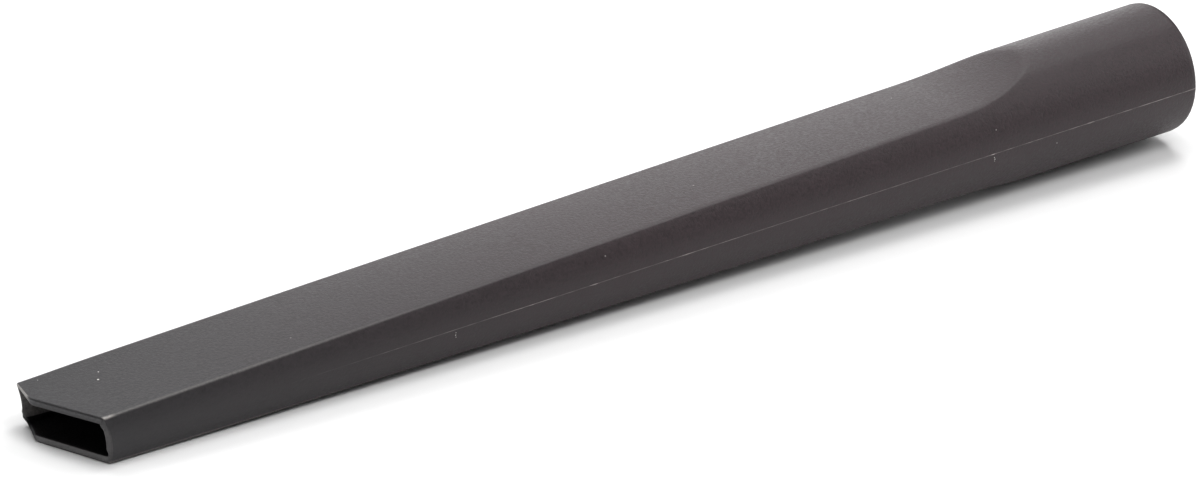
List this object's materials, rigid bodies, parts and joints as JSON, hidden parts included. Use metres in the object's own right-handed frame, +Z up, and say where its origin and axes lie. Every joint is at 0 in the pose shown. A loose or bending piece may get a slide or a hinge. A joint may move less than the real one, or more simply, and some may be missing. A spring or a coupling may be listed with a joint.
{
  "type": "crevice nozzle",
  "caption": "Long hollow crevice nozzle for a vacuum cleaner: a round socket for the wand, flattened above and below towards a narrow slanted mouth.",
  "frame": {"origin": "centre of the tool's bounding box, on the tool's axis", "axes": "+X along the axis from the mouth to the socket's rim, +Z up through the upper flat, +Y across, to the side of the mouth's short edge"},
  "size_m": [0.3354, 0.036, 0.036],
  "materials": {
    "moulded_plastic": "fine spark-eroded texture"
  },
  "bodies": {
    "root": {"nozzle_body": "moulded_plastic"}
  },
  "joints": []
}
